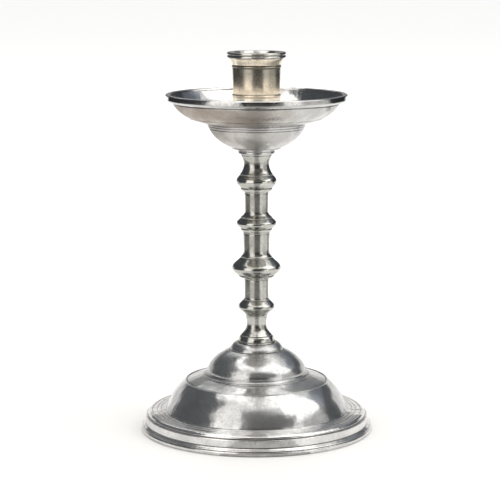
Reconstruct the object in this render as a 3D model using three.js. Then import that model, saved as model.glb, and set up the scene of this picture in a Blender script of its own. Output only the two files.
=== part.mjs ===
// A turned pewter candlestick: hollow base, stem sections on a tie rod, drip pan and candle socket.
// Millimetres, +Z up, with the origin on the table under the middle of the base.

import * as THREE from 'three';

// Foot ring
const FOOT_RADIUS = 64.6;
const FOOT_LIP_HEIGHT = 3.3;
const FOOT_LIP_ROUNDING = 0.9;
const FOOT_TREAD_WIDTH = 1.4;
const FOOT_TREAD_RISE = 0.9;
const FOOT_BAND_HEIGHT = 4.1;
const FOOT_BAND_SLOPE = 0.3;
const FOOT_GROOVE_DEPTH = 1.2;
const FOOT_GROOVE_WIDTH = 0.6;
const FOOT_BEAD_WIDTH = 2.2;
const FOOT_BEAD_HEIGHT = 1.7;
const FOOT_SHOULDER_WIDTH = 7.6;
const FOOT_SHOULDER_RISE = 0.8;
const FOOT_WALL = 2.6;

// Lower dome of the base
const DOME_SPREAD = 11.1;
const DOME_RISE = 15.95;
const DOME_SWELL = 1.9;
const LEDGE_WIDTH = 10.1;
const LEDGE_BEAD = 0.5;
const LEDGE_RISE = 3.1;
const DOME_WALL = 2;

// Upper dome of the base, with its collar
const CAP_EDGE_HEIGHT = 0.4;
const CAP_COVE_WIDTH = 2.4;
const CAP_COVE_HEIGHT = 2.7;
const CAP_DOME_RISE = 11.6;
const CAP_CROWN_WIDTH = 5;
const CAP_CROWN_FALL = 1.8;
const CAP_COLLAR_RADIUS = 14.9;
const CAP_COLLAR_HEIGHT = 4;
const CAP_SEAT_RADIUS = 11.3;
const CAP_WALL = 2;

// Bell-shaped stem foot
const BELL_RADIUS = 10.8;
const BELL_EDGE_HEIGHT = 0.6;
const BELL_EDGE_PROJECTION = 0.8;
const BELL_CUSHION_HEIGHT = 3.4;
const BELL_BEAD_RADIUS = 8.7;
const BELL_BEAD_HEIGHT = 0.9;
const BELL_BEAD_PROJECTION = 0.7;
const BELL_NECK_RADIUS = 5.7;
const BELL_SWEEP_HEIGHT = 9.5;

// Stem sections: neck or step ring, knop and column, from the bottom of each section up.
// The columns and the neck under the pan share the height that the knops leave.
const STEM_HEIGHT = 91.4;

const LOWER_NECK_RADIUS = 5.7;
const LOWER_KNOP_RADIUS = 10.2;
const LOWER_KNOP_UNDER = 5.7;
const LOWER_KNOP_OVER = 5.5;
const LOWER_CREASE_RISE = 4;
const LOWER_CREASE_PROJECTION = 0.4;
const LOWER_COLUMN_RADIUS = 6.7;
const LOWER_COLUMN_SHARE = 0.285;

const MAIN_RING_RADIUS = 10;
const MAIN_RING_HEIGHT = 1.4;
const MAIN_KNOP_RADIUS = 13.6;
const MAIN_KNOP_UNDER = 4;
const MAIN_KNOP_OVER = 9.5;
const MAIN_CREASE_RISE = 5.9;
const MAIN_CREASE_PROJECTION = 1.3;
const MAIN_COLUMN_RADIUS = 7.2;
const MAIN_COLUMN_SHARE = 0.278;
const MAIN_COLUMN_FLARE = 0.2;

const MIDDLE_RING_RADIUS = 8.8;
const MIDDLE_RING_HEIGHT = 1.8;
const MIDDLE_KNOP_RADIUS = 11;
const MIDDLE_KNOP_UNDER = 2.8;
const MIDDLE_KNOP_OVER = 6.6;
const MIDDLE_CREASE_RISE = 3;
const MIDDLE_CREASE_PROJECTION = 2.1;
const MIDDLE_COLUMN_RADIUS = 6.45;
const MIDDLE_COLUMN_SHARE = 0.288;
const MIDDLE_COLUMN_FLARE = 0.3;

const UPPER_RING_RADIUS = 8.8;
const UPPER_RING_HEIGHT = 1.9;
const UPPER_KNOP_RADIUS = 11.1;
const UPPER_KNOP_UNDER = 3.8;
const UPPER_KNOP_OVER = 9.5;
const UPPER_CREASE_RISE = 3.4;
const UPPER_CREASE_PROJECTION = 1.9;
const UPPER_WAIST_RADIUS = 7.05;
const UPPER_NECK_FLARE = 1.9;

// Bowl under the pan
const BOWL_RADIUS = 27.2;
const BOWL_RING_RADIUS = 10.1;
const BOWL_RING_HEIGHT = 2.6;
const BOWL_FOOT_RADIUS = 13.5;
const BOWL_FOOT_HEIGHT = 0.5;
const BOWL_RISE = 11.9;
const BOWL_BELLY_INSET = 4.1;
const BOWL_BELLY_HEIGHT = 4;
const BOWL_BAND_HEIGHT = 1.4;
const BOWL_WALL = 3.5;
const BOWL_OVER_ROD = 1.6;

// Drip pan
const PAN_LIP_HEIGHT = 2.25;
const PAN_LIP_WIDTH = 2.8;
const PAN_COVE_WIDTH = 3.6;
const PAN_COVE_HEIGHT = 2.3;
const PAN_FLARE_WIDTH = 9.2;
const PAN_FLARE_RISE = 8.3;
const PAN_BELLY_INSET = 3.7;
const PAN_BELLY_HEIGHT = 2.4;
const PAN_DISH_INSET = 1.7;
const PAN_DISH_DROP = 0.3;
const PAN_STEP_WIDTH = 0.5;
const PAN_STEP_RISE = 0.55;
const PAN_SLOPE_WIDTH = 11.2;
const PAN_SLOPE_RISE = 2.8;
const PAN_SEAT_INSET = 1.8;
const PAN_WALL = 2;
const PAN_FLOOR = 3.6;
const PAN_SLEEVE_WALL = 2;

// Candle socket
const CANDLE_BORE_RADIUS = 11.25;
const CANDLE_BORE_DEPTH = 27;
const CANDLE_MOUTH_BEVEL = 1.2;
const SOCKET_FLOOR = 8.4;
const SOCKET_WALL = 1.95;
const SOCKET_FOOT_SPREAD = 5.6;
const SOCKET_FOOT_EDGE = 1;
const SOCKET_FOOT_COVE = 8.9;
const SOCKET_BEAD_HEIGHT = 1.4;
const SOCKET_BEAD_PROJECTION = 0.5;
const SOCKET_COLLAR_HEIGHT = 1.2;
const SOCKET_COLLAR_PROJECTION = 0.4;
const SOCKET_FLARE_HEIGHT = 3.7;
const SOCKET_FLARE_STEP = 0.9;
const SOCKET_FLARE_PROJECTION = 2.3;
const SOCKET_RIM_BEAD_HEIGHT = 1.65;
const SOCKET_RIM_PROJECTION = 2.95;
const SPIGOT_RADIUS = 8;
const SPIGOT_CLEARANCE = 0.3;
const SPIGOT_END_GAP = 3;

// Tie rod, its washer and its nut
const ROD_RADIUS = 2.5;
const ROD_CLEARANCE = 0.3;
const ROD_GRIP = 6.5;
const ROD_TAIL = 1.2;
const WASHER_RADIUS = 12;
const WASHER_THICKNESS = 2;
const NUT_WALL = 1.2;
const NUT_HEIGHT = 4;

// Fineness of the turned surfaces
const TURN_SEGMENTS = 32;
const CURVE_STEPS = 4;

// Heights of the seats, each from the piece below it
const FOOT_BAND_BOTTOM = FOOT_LIP_HEIGHT + FOOT_TREAD_RISE;
const FOOT_BEAD_BOTTOM = FOOT_BAND_BOTTOM + FOOT_BAND_HEIGHT + FOOT_GROOVE_WIDTH;
const FOOT_SEAT = FOOT_BEAD_BOTTOM + FOOT_BEAD_HEIGHT + FOOT_SHOULDER_RISE;
const WEB_TOP = FOOT_SEAT + DOME_RISE + LEDGE_RISE;
const WEB_UNDER = WEB_TOP - DOME_WALL;
const CAP_DOME_BOTTOM = WEB_TOP + CAP_EDGE_HEIGHT + CAP_COVE_HEIGHT;
const CAP_TOP = CAP_DOME_BOTTOM + CAP_DOME_RISE + CAP_COLLAR_HEIGHT;
const BELL_TOP = CAP_TOP + BELL_EDGE_HEIGHT + BELL_CUSHION_HEIGHT + BELL_BEAD_HEIGHT + BELL_SWEEP_HEIGHT;
const LOWER_KNOP_HEIGHT = LOWER_KNOP_UNDER + LOWER_KNOP_OVER;
const MAIN_KNOP_HEIGHT = MAIN_RING_HEIGHT + MAIN_KNOP_UNDER + MAIN_KNOP_OVER;
const MIDDLE_KNOP_HEIGHT = MIDDLE_RING_HEIGHT + MIDDLE_KNOP_UNDER + MIDDLE_KNOP_OVER;
const UPPER_KNOP_HEIGHT = UPPER_RING_HEIGHT + UPPER_KNOP_UNDER + UPPER_KNOP_OVER;
const KNOPS_HEIGHT = LOWER_KNOP_HEIGHT + MAIN_KNOP_HEIGHT + MIDDLE_KNOP_HEIGHT + UPPER_KNOP_HEIGHT;
const COLUMNS_HEIGHT = STEM_HEIGHT - KNOPS_HEIGHT;
const LOWER_TOP = BELL_TOP + LOWER_KNOP_HEIGHT + COLUMNS_HEIGHT * LOWER_COLUMN_SHARE;
const MAIN_TOP = LOWER_TOP + MAIN_KNOP_HEIGHT + COLUMNS_HEIGHT * MAIN_COLUMN_SHARE;
const MIDDLE_TOP = MAIN_TOP + MIDDLE_KNOP_HEIGHT + COLUMNS_HEIGHT * MIDDLE_COLUMN_SHARE;
const UPPER_TOP = BELL_TOP + STEM_HEIGHT;
const BOWL_TOP = UPPER_TOP + BOWL_RING_HEIGHT + BOWL_FOOT_HEIGHT + BOWL_RISE + BOWL_BAND_HEIGHT;
const PAN_FLOOR_TOP = BOWL_TOP + PAN_FLOOR;

// Radii that neighbouring pieces share
const LIP_RADIUS = FOOT_RADIUS - FOOT_LIP_ROUNDING;
const BAND_RADIUS = LIP_RADIUS - FOOT_TREAD_WIDTH;
const FOOT_BEAD_RADIUS = BAND_RADIUS - FOOT_BAND_SLOPE - FOOT_GROOVE_DEPTH;
const DOME_FOOT_RADIUS = FOOT_BEAD_RADIUS - FOOT_BEAD_WIDTH - FOOT_SHOULDER_WIDTH;
const LEDGE_RADIUS = DOME_FOOT_RADIUS - DOME_SPREAD;
const CAP_RADIUS = LEDGE_RADIUS - LEDGE_WIDTH;
const SOCKET_RADIUS = CANDLE_BORE_RADIUS + SOCKET_WALL;
const ROD_BORE = ROD_RADIUS + ROD_CLEARANCE;

// Depths inside the bowl
const BOWL_CAVITY_FLOOR = UPPER_TOP + ROD_GRIP + BOWL_OVER_ROD;
const SPIGOT_BOTTOM = BOWL_CAVITY_FLOOR + SPIGOT_END_GAP;

// Finishes
const PEWTER = { color: 0xb7b4ac, roughness: 0.28, metalness: 1 };
const WARM_PEWTER = { color: 0xc9b898, roughness: 0.32, metalness: 1 };
const STEEL = { color: 0x8b8f93, roughness: 0.4, metalness: 1 };

// Turning profiles: each helper carries an outline on from where it stands to the point (radius, height)

// Leaves upright and arrives level
function roundOver(outline, radius, height, fullness) {
  const { x, y } = outline.currentPoint;
  const upright = y + (height - y) * fullness;
  const level = radius + (x - radius) * fullness;
  outline.bezierCurveTo(x, upright, level, height, radius, height);
}

// Leaves level and arrives upright
function turnUp(outline, radius, height, fullness) {
  const { x, y } = outline.currentPoint;
  const level = x + (radius - x) * fullness;
  const upright = height + (y - height) * fullness;
  outline.bezierCurveTo(level, y, radius, upright, radius, height);
}

// Leaves and arrives upright
function ogee(outline, radius, height, leave, arrive) {
  const { x, y } = outline.currentPoint;
  const rise = height - y;
  outline.bezierCurveTo(x, y + rise * leave, radius, height - rise * arrive, radius, height);
}

// Leaves upright and opens out towards the end
function flareOut(outline, radius, height) {
  const { x, y } = outline.currentPoint;
  outline.quadraticCurveTo(x, (y + height) / 2, radius, height);
}

// From a knop's widest point: a round nose up to a crease, then a cove that arrives upright on the column
function noseAndCove(outline, creaseRadius, creaseHeight, radius, height) {
  const { x, y } = outline.currentPoint;
  const slant = (x - creaseRadius) * NOSE_SLANT;
  const noseTop = y + (creaseHeight - y) * NOSE_ROUND;
  outline.bezierCurveTo(x, noseTop, creaseRadius + slant, creaseHeight - slant, creaseRadius, creaseHeight);
  drawIn(outline, radius, height);
}

// Closes in at first and arrives upright
function drawIn(outline, radius, height) {
  const { y } = outline.currentPoint;
  outline.quadraticCurveTo(radius, (y + height) / 2, radius, height);
}

// Fullness of the curves: a quarter circle is 0.55, and less is flatter
const QUARTER_ROUND = 0.55;
const DOME_ROUND = 0.43;
const KNOP_ROUND = 0.37;
const COLLAR_ROUND = 0.3;
const LIP_ROUND = 0.4;

// Share of the upper dome's rise that stays upright
const DOME_UPRIGHT = 0.37;

// A knop's nose: the share of its rise that stays upright, and of its width that slants to the crease
const NOSE_ROUND = 0.36;
const NOSE_SLANT = 0.5;

// Share of the lower knop's rise that stays upright at its neck and at its crown
const LOWER_WAIST = 0.44;
const LOWER_CROWN = 0.33;

function turned(name, outline, finish) {
  const geometry = new THREE.LatheGeometry(outline.getPoints(CURVE_STEPS), TURN_SEGMENTS);
  geometry.rotateX(Math.PI / 2);
  const mesh = new THREE.Mesh(geometry, new THREE.MeshStandardMaterial(finish));
  mesh.name = name;
  return mesh;
}

// Foot ring: rounded lip, sloping tread, upright band, groove, bead and a shoulder up to the dome's seat
function footRing() {
  const bandTop = FOOT_BAND_BOTTOM + FOOT_BAND_HEIGHT;
  const beadTop = FOOT_BEAD_BOTTOM + FOOT_BEAD_HEIGHT;
  const outline = new THREE.Path();
  outline.moveTo(LIP_RADIUS - FOOT_WALL, 0);
  outline.lineTo(LIP_RADIUS, 0);
  turnUp(outline, FOOT_RADIUS, FOOT_LIP_HEIGHT / 2, QUARTER_ROUND);
  roundOver(outline, LIP_RADIUS, FOOT_LIP_HEIGHT, QUARTER_ROUND);
  outline.lineTo(BAND_RADIUS, FOOT_BAND_BOTTOM);
  outline.lineTo(BAND_RADIUS - FOOT_BAND_SLOPE, bandTop);
  outline.lineTo(FOOT_BEAD_RADIUS, bandTop + FOOT_GROOVE_WIDTH / 2);
  outline.lineTo(FOOT_BEAD_RADIUS, FOOT_BEAD_BOTTOM);
  roundOver(outline, FOOT_BEAD_RADIUS - FOOT_BEAD_WIDTH, beadTop, QUARTER_ROUND);
  outline.lineTo(DOME_FOOT_RADIUS, FOOT_SEAT);
  outline.lineTo(DOME_FOOT_RADIUS - FOOT_WALL, FOOT_SEAT);
  outline.lineTo(DOME_FOOT_RADIUS - FOOT_WALL, FOOT_SEAT - FOOT_WALL);
  outline.lineTo(FOOT_BEAD_RADIUS - FOOT_WALL, FOOT_BEAD_BOTTOM - FOOT_WALL);
  outline.closePath();
  return turned('foot_ring', outline, PEWTER);
}

// Lower dome: a shell with a sloping ledge and a flat web that the upper dome stands on
function baseDome() {
  const ledgeHeight = FOOT_SEAT + DOME_RISE;
  const middleRadius = (DOME_FOOT_RADIUS + LEDGE_RADIUS) / 2 + DOME_SWELL;
  const middleHeight = FOOT_SEAT + DOME_RISE / 2 + DOME_SWELL;
  const outline = new THREE.Path();
  outline.moveTo(ROD_BORE, WEB_UNDER);
  outline.lineTo(CAP_RADIUS - DOME_WALL, WEB_UNDER);
  outline.lineTo(LEDGE_RADIUS - DOME_WALL, ledgeHeight - DOME_WALL);
  outline.quadraticCurveTo(middleRadius - DOME_WALL, middleHeight - DOME_WALL,
    DOME_FOOT_RADIUS - DOME_WALL, FOOT_SEAT);
  outline.lineTo(DOME_FOOT_RADIUS, FOOT_SEAT);
  outline.quadraticCurveTo(middleRadius, middleHeight, LEDGE_RADIUS, ledgeHeight);
  outline.lineTo(LEDGE_RADIUS - LEDGE_BEAD, ledgeHeight + LEDGE_BEAD);
  outline.lineTo(LEDGE_RADIUS - 2 * LEDGE_BEAD, ledgeHeight + LEDGE_BEAD / 2);
  outline.lineTo(CAP_RADIUS, WEB_TOP);
  outline.lineTo(ROD_BORE, WEB_TOP);
  outline.closePath();
  return turned('base_dome', outline, PEWTER);
}

// Upper dome: a hollow shell with a small cove round its foot and a rounded collar that the stem stands on
function baseCap() {
  const shoulder = CAP_DOME_BOTTOM + CAP_DOME_RISE;
  const crown = shoulder - CAP_CROWN_FALL;
  const ceiling = (shoulder + crown) / 2 - CAP_WALL;
  const domeRadius = CAP_RADIUS - CAP_COVE_WIDTH;
  const outline = new THREE.Path();
  outline.moveTo(domeRadius - CAP_WALL, WEB_TOP);
  outline.lineTo(CAP_RADIUS, WEB_TOP);
  outline.lineTo(CAP_RADIUS, WEB_TOP + CAP_EDGE_HEIGHT);
  turnUp(outline, domeRadius, CAP_DOME_BOTTOM, QUARTER_ROUND);
  outline.bezierCurveTo(domeRadius, CAP_DOME_BOTTOM + CAP_DOME_RISE * DOME_UPRIGHT,
    CAP_COLLAR_RADIUS + CAP_CROWN_WIDTH, crown, CAP_COLLAR_RADIUS, shoulder);
  roundOver(outline, CAP_SEAT_RADIUS, CAP_TOP, COLLAR_ROUND);
  outline.lineTo(ROD_BORE, CAP_TOP);
  outline.lineTo(ROD_BORE, ceiling);
  outline.lineTo(CAP_COLLAR_RADIUS, ceiling);
  turnUp(outline, domeRadius - CAP_WALL, WEB_TOP, DOME_ROUND);
  return turned('base_cap', outline, PEWTER);
}

// Stem foot: thin edge, cushion, bead, and a long sweep up to the neck
function stemFoot() {
  const cushionBottom = CAP_TOP + BELL_EDGE_HEIGHT;
  const beadBottom = cushionBottom + BELL_CUSHION_HEIGHT;
  const sweepBottom = beadBottom + BELL_BEAD_HEIGHT;
  const outline = new THREE.Path();
  outline.moveTo(ROD_BORE, CAP_TOP);
  outline.lineTo(BELL_RADIUS, CAP_TOP);
  outline.lineTo(BELL_RADIUS, cushionBottom);
  outline.lineTo(BELL_RADIUS - BELL_EDGE_PROJECTION, cushionBottom);
  roundOver(outline, BELL_BEAD_RADIUS, beadBottom, QUARTER_ROUND);
  outline.lineTo(BELL_BEAD_RADIUS - BELL_BEAD_PROJECTION, sweepBottom);
  drawIn(outline, BELL_NECK_RADIUS, BELL_TOP);
  outline.lineTo(ROD_BORE, BELL_TOP);
  outline.closePath();
  return turned('stem_foot', outline, PEWTER);
}

// Fourth knop: it swells straight from the neck
function stemLower() {
  const widest = BELL_TOP + LOWER_KNOP_UNDER;
  const outline = new THREE.Path();
  outline.moveTo(ROD_BORE, BELL_TOP);
  outline.lineTo(LOWER_NECK_RADIUS, BELL_TOP);
  ogee(outline, LOWER_KNOP_RADIUS, widest, LOWER_WAIST, LOWER_CROWN);
  noseAndCove(outline, LOWER_COLUMN_RADIUS + LOWER_CREASE_PROJECTION, widest + LOWER_CREASE_RISE,
    LOWER_COLUMN_RADIUS, widest + LOWER_KNOP_OVER);
  outline.lineTo(LOWER_COLUMN_RADIUS, LOWER_TOP);
  outline.lineTo(ROD_BORE, LOWER_TOP);
  outline.closePath();
  return turned('stem_lower', outline, PEWTER);
}

// A knop on a step ring, carried up into a column whose top may flare
function knopSection(name, bottom, top, ring, knop, crease, column) {
  const ringTop = bottom + ring.height;
  const widest = ringTop + knop.under;
  const outline = new THREE.Path();
  outline.moveTo(ROD_BORE, bottom);
  outline.lineTo(ring.radius, bottom);
  outline.lineTo(ring.radius, ringTop);
  turnUp(outline, knop.radius, widest, KNOP_ROUND);
  noseAndCove(outline, column.radius + crease.projection, widest + crease.rise,
    column.radius, widest + knop.over);
  flareOut(outline, column.radius + column.flare, top);
  outline.lineTo(ROD_BORE, top);
  outline.closePath();
  return turned(name, outline, PEWTER);
}

function stemMainKnop() {
  return knopSection('stem_main_knop', LOWER_TOP, MAIN_TOP,
    { radius: MAIN_RING_RADIUS, height: MAIN_RING_HEIGHT },
    { radius: MAIN_KNOP_RADIUS, under: MAIN_KNOP_UNDER, over: MAIN_KNOP_OVER },
    { rise: MAIN_CREASE_RISE, projection: MAIN_CREASE_PROJECTION },
    { radius: MAIN_COLUMN_RADIUS, flare: MAIN_COLUMN_FLARE });
}

function stemMiddle() {
  return knopSection('stem_middle', MAIN_TOP, MIDDLE_TOP,
    { radius: MIDDLE_RING_RADIUS, height: MIDDLE_RING_HEIGHT },
    { radius: MIDDLE_KNOP_RADIUS, under: MIDDLE_KNOP_UNDER, over: MIDDLE_KNOP_OVER },
    { rise: MIDDLE_CREASE_RISE, projection: MIDDLE_CREASE_PROJECTION },
    { radius: MIDDLE_COLUMN_RADIUS, flare: MIDDLE_COLUMN_FLARE });
}

function stemUpper() {
  return knopSection('stem_upper', MIDDLE_TOP, UPPER_TOP,
    { radius: UPPER_RING_RADIUS, height: UPPER_RING_HEIGHT },
    { radius: UPPER_KNOP_RADIUS, under: UPPER_KNOP_UNDER, over: UPPER_KNOP_OVER },
    { rise: UPPER_CREASE_RISE, projection: UPPER_CREASE_PROJECTION },
    { radius: UPPER_WAIST_RADIUS, flare: UPPER_NECK_FLARE });
}

// Bowl under the pan: two rings, a thick bottom that the rod screws into, and a hollow above it
function panBowl() {
  const footBottom = UPPER_TOP + BOWL_RING_HEIGHT;
  const bowlBottom = footBottom + BOWL_FOOT_HEIGHT;
  const bandBottom = bowlBottom + BOWL_RISE;
  const bellyRadius = BOWL_RADIUS - BOWL_BELLY_INSET;
  const outline = new THREE.Path();
  outline.moveTo(0, UPPER_TOP + ROD_GRIP);
  outline.lineTo(ROD_BORE, UPPER_TOP + ROD_GRIP);
  outline.lineTo(ROD_BORE, UPPER_TOP);
  outline.lineTo(BOWL_RING_RADIUS, UPPER_TOP);
  outline.lineTo(BOWL_RING_RADIUS, footBottom);
  outline.lineTo(BOWL_FOOT_RADIUS, footBottom);
  outline.lineTo(BOWL_FOOT_RADIUS, bowlBottom);
  outline.quadraticCurveTo(bellyRadius, bowlBottom + BOWL_BELLY_HEIGHT, BOWL_RADIUS, bandBottom);
  outline.lineTo(BOWL_RADIUS, BOWL_TOP);
  outline.lineTo(BOWL_RADIUS - BOWL_WALL, BOWL_TOP);
  outline.lineTo(BOWL_RADIUS - BOWL_WALL, bandBottom);
  outline.lineTo(bellyRadius - 2 * BOWL_WALL, BOWL_CAVITY_FLOOR);
  outline.lineTo(0, BOWL_CAVITY_FLOOR);
  return turned('pan_bowl', outline, PEWTER);
}

// Drip pan: sleeve for the socket's spigot, stepped underside, cove, rounded lip and a dished inside
function dripPan() {
  const sleeveBore = SPIGOT_RADIUS + SPIGOT_CLEARANCE;
  const sleeveRadius = sleeveBore + PAN_SLEEVE_WALL;
  const seatRadius = BOWL_RADIUS - PAN_SEAT_INSET;
  const slopeRadius = seatRadius + PAN_SLOPE_WIDTH;
  const slopeHeight = BOWL_TOP + PAN_SLOPE_RISE;
  const stepRadius = slopeRadius + PAN_STEP_WIDTH;
  const stepHeight = slopeHeight + PAN_STEP_RISE;
  const coveRadius = stepRadius + PAN_FLARE_WIDTH;
  const panRadius = coveRadius + PAN_COVE_WIDTH;
  const coveBottom = stepHeight + PAN_FLARE_RISE;
  const lipBottom = coveBottom + PAN_COVE_HEIGHT;
  const rimTop = lipBottom + PAN_LIP_HEIGHT;
  const lipEdge = rimTop - PAN_LIP_WIDTH / 2;
  const bellyRadius = coveRadius - PAN_BELLY_INSET;
  const bellyHeight = stepHeight + PAN_BELLY_HEIGHT;
  const outline = new THREE.Path();
  outline.moveTo(sleeveBore, SPIGOT_BOTTOM);
  outline.lineTo(sleeveRadius, SPIGOT_BOTTOM);
  outline.lineTo(sleeveRadius, BOWL_TOP);
  outline.lineTo(seatRadius, BOWL_TOP);
  outline.lineTo(slopeRadius, slopeHeight);
  outline.lineTo(stepRadius, stepHeight);
  outline.quadraticCurveTo(bellyRadius, bellyHeight, coveRadius, coveBottom);
  turnUp(outline, panRadius, lipBottom, LIP_ROUND);
  outline.lineTo(panRadius, lipEdge);
  roundOver(outline, panRadius - PAN_LIP_WIDTH / 2, rimTop, QUARTER_ROUND);
  turnUp(outline, panRadius - PAN_LIP_WIDTH, lipEdge, QUARTER_ROUND);
  outline.quadraticCurveTo(bellyRadius - PAN_DISH_INSET, bellyHeight - PAN_DISH_DROP,
    slopeRadius - PAN_WALL, PAN_FLOOR_TOP);
  outline.lineTo(sleeveBore, PAN_FLOOR_TOP);
  outline.closePath();
  return turned('drip_pan', outline, PEWTER);
}

// Candle socket: plain spigot, spreading foot, bead, barrel, collar, flare and a double-bead rim
function candleSocket() {
  const edgeTop = PAN_FLOOR_TOP + SOCKET_FOOT_EDGE;
  const beadBottom = edgeTop + SOCKET_FOOT_COVE;
  const beadRadius = SOCKET_RADIUS + SOCKET_BEAD_PROJECTION;
  const barrelBottom = beadBottom + SOCKET_BEAD_HEIGHT;
  const boreFloor = PAN_FLOOR_TOP + SOCKET_FLOOR;
  const rimTop = boreFloor + CANDLE_BORE_DEPTH;
  const rimBottom = rimTop - 2 * SOCKET_RIM_BEAD_HEIGHT;
  const rimRadius = SOCKET_RADIUS + SOCKET_RIM_PROJECTION;
  const rimNeck = SOCKET_RADIUS + SOCKET_FLARE_PROJECTION;
  const flareBottom = rimBottom - SOCKET_FLARE_HEIGHT;
  const collarBottom = flareBottom - SOCKET_COLLAR_HEIGHT;
  const collarRadius = SOCKET_RADIUS + SOCKET_COLLAR_PROJECTION;
  const outline = new THREE.Path();
  outline.moveTo(0, SPIGOT_BOTTOM);
  outline.lineTo(SPIGOT_RADIUS, SPIGOT_BOTTOM);
  outline.lineTo(SPIGOT_RADIUS, PAN_FLOOR_TOP);
  outline.lineTo(SOCKET_RADIUS + SOCKET_FOOT_SPREAD, PAN_FLOOR_TOP);
  outline.lineTo(SOCKET_RADIUS + SOCKET_FOOT_SPREAD, edgeTop);
  turnUp(outline, SOCKET_RADIUS, beadBottom, QUARTER_ROUND);
  outline.lineTo(beadRadius, beadBottom);
  outline.lineTo(beadRadius, barrelBottom);
  outline.lineTo(SOCKET_RADIUS, barrelBottom);
  outline.lineTo(SOCKET_RADIUS, collarBottom);
  outline.lineTo(collarRadius, (collarBottom + flareBottom) / 2);
  outline.lineTo(SOCKET_RADIUS, flareBottom);
  outline.lineTo(SOCKET_RADIUS + SOCKET_FLARE_STEP, flareBottom);
  roundOver(outline, rimNeck, rimBottom, QUARTER_ROUND);
  for (const beadStart of [rimBottom, rimBottom + SOCKET_RIM_BEAD_HEIGHT]) {
    turnUp(outline, rimRadius, beadStart + SOCKET_RIM_BEAD_HEIGHT / 2, QUARTER_ROUND);
    roundOver(outline, rimNeck, beadStart + SOCKET_RIM_BEAD_HEIGHT, QUARTER_ROUND);
  }
  outline.lineTo(CANDLE_BORE_RADIUS + CANDLE_MOUTH_BEVEL, rimTop);
  outline.lineTo(CANDLE_BORE_RADIUS, rimTop - CANDLE_MOUTH_BEVEL);
  outline.lineTo(CANDLE_BORE_RADIUS, boreFloor);
  outline.lineTo(0, boreFloor);
  return turned('candle_socket', outline, WARM_PEWTER);
}

function tieRod() {
  const bottom = WEB_UNDER - WASHER_THICKNESS - NUT_HEIGHT - ROD_TAIL;
  const top = UPPER_TOP + ROD_GRIP - ROD_CLEARANCE;
  const outline = new THREE.Path();
  outline.moveTo(0, bottom);
  outline.lineTo(ROD_RADIUS, bottom);
  outline.lineTo(ROD_RADIUS, top);
  outline.lineTo(0, top);
  return turned('tie_rod', outline, STEEL);
}

function tieRodWasher() {
  const bottom = WEB_UNDER - WASHER_THICKNESS;
  const outline = new THREE.Path();
  outline.moveTo(ROD_BORE, bottom);
  outline.lineTo(WASHER_RADIUS, bottom);
  outline.lineTo(WASHER_RADIUS, WEB_UNDER);
  outline.lineTo(ROD_BORE, WEB_UNDER);
  outline.closePath();
  return turned('tie_rod_washer', outline, STEEL);
}

// Hexagon nut, flats towards the front and back
function tieRodNut() {
  const cornerRadius = (ROD_BORE + NUT_WALL) / Math.cos(Math.PI / 6);
  const hexagon = new THREE.Shape();
  for (let corner = 0; corner < 6; corner += 1) {
    const angle = corner * Math.PI / 3;
    const x = cornerRadius * Math.cos(angle);
    const y = cornerRadius * Math.sin(angle);
    if (corner === 0) {
      hexagon.moveTo(x, y);
    } else {
      hexagon.lineTo(x, y);
    }
  }
  hexagon.closePath();
  hexagon.holes.push(new THREE.Path().absarc(0, 0, ROD_BORE, 0, 2 * Math.PI, true));
  const settings = { depth: NUT_HEIGHT, bevelEnabled: false, curveSegments: TURN_SEGMENTS / 2 };
  const geometry = new THREE.ExtrudeGeometry(hexagon, settings);
  const mesh = new THREE.Mesh(geometry, new THREE.MeshStandardMaterial(STEEL));
  mesh.position.z = WEB_UNDER - WASHER_THICKNESS - NUT_HEIGHT;
  mesh.name = 'tie_rod_nut';
  return mesh;
}

const candlestick = new THREE.Group();
candlestick.add(
  footRing(),
  baseDome(),
  baseCap(),
  stemFoot(),
  stemLower(),
  stemMainKnop(),
  stemMiddle(),
  stemUpper(),
  panBowl(),
  dripPan(),
  candleSocket(),
  tieRod(),
  tieRodWasher(),
  tieRodNut(),
);

export default candlestick;
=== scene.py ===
import math

import bpy
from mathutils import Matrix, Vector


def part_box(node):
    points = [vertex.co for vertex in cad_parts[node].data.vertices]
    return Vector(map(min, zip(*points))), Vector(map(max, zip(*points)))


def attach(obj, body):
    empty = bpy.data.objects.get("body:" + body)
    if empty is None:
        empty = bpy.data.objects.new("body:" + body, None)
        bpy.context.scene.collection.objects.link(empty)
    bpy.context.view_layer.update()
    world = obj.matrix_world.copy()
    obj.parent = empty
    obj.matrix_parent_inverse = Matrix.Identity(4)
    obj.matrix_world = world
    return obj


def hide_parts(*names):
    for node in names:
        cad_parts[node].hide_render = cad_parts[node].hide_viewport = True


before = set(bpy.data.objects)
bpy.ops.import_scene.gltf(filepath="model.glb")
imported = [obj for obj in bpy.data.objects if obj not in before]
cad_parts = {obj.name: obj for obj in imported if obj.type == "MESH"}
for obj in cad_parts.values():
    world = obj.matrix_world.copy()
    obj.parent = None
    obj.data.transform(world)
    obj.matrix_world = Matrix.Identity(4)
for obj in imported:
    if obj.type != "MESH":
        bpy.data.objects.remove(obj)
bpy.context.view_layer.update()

# Foot ring: the moulded ring that the candlestick stands on.
# Cast pewter, turned on a lathe outside, soldered under the lower dome.

MM = 0.001


def line(outline, radius, height):
    """Carries the outline straight on to a point (radius, height), in millimetres."""
    outline.append((radius, height))


CURVE_POINTS = 48


def curve(outline, first_hold, last_hold, radius, height):
    """Carries the outline on in a curve that is pulled towards the two holding points."""
    x, y = outline[-1]
    for step in range(1, CURVE_POINTS + 1):
        t = step / CURVE_POINTS
        u = 1 - t
        parts = (u ** 3, 3 * u * u * t, 3 * u * t * t, t ** 3)
        across = parts[0] * x + parts[1] * first_hold[0] + parts[2] * last_hold[0] + parts[3] * radius
        up = parts[0] * y + parts[1] * first_hold[1] + parts[2] * last_hold[1] + parts[3] * height
        outline.append((across, up))


CURVE_FULLNESS = 0.55


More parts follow.
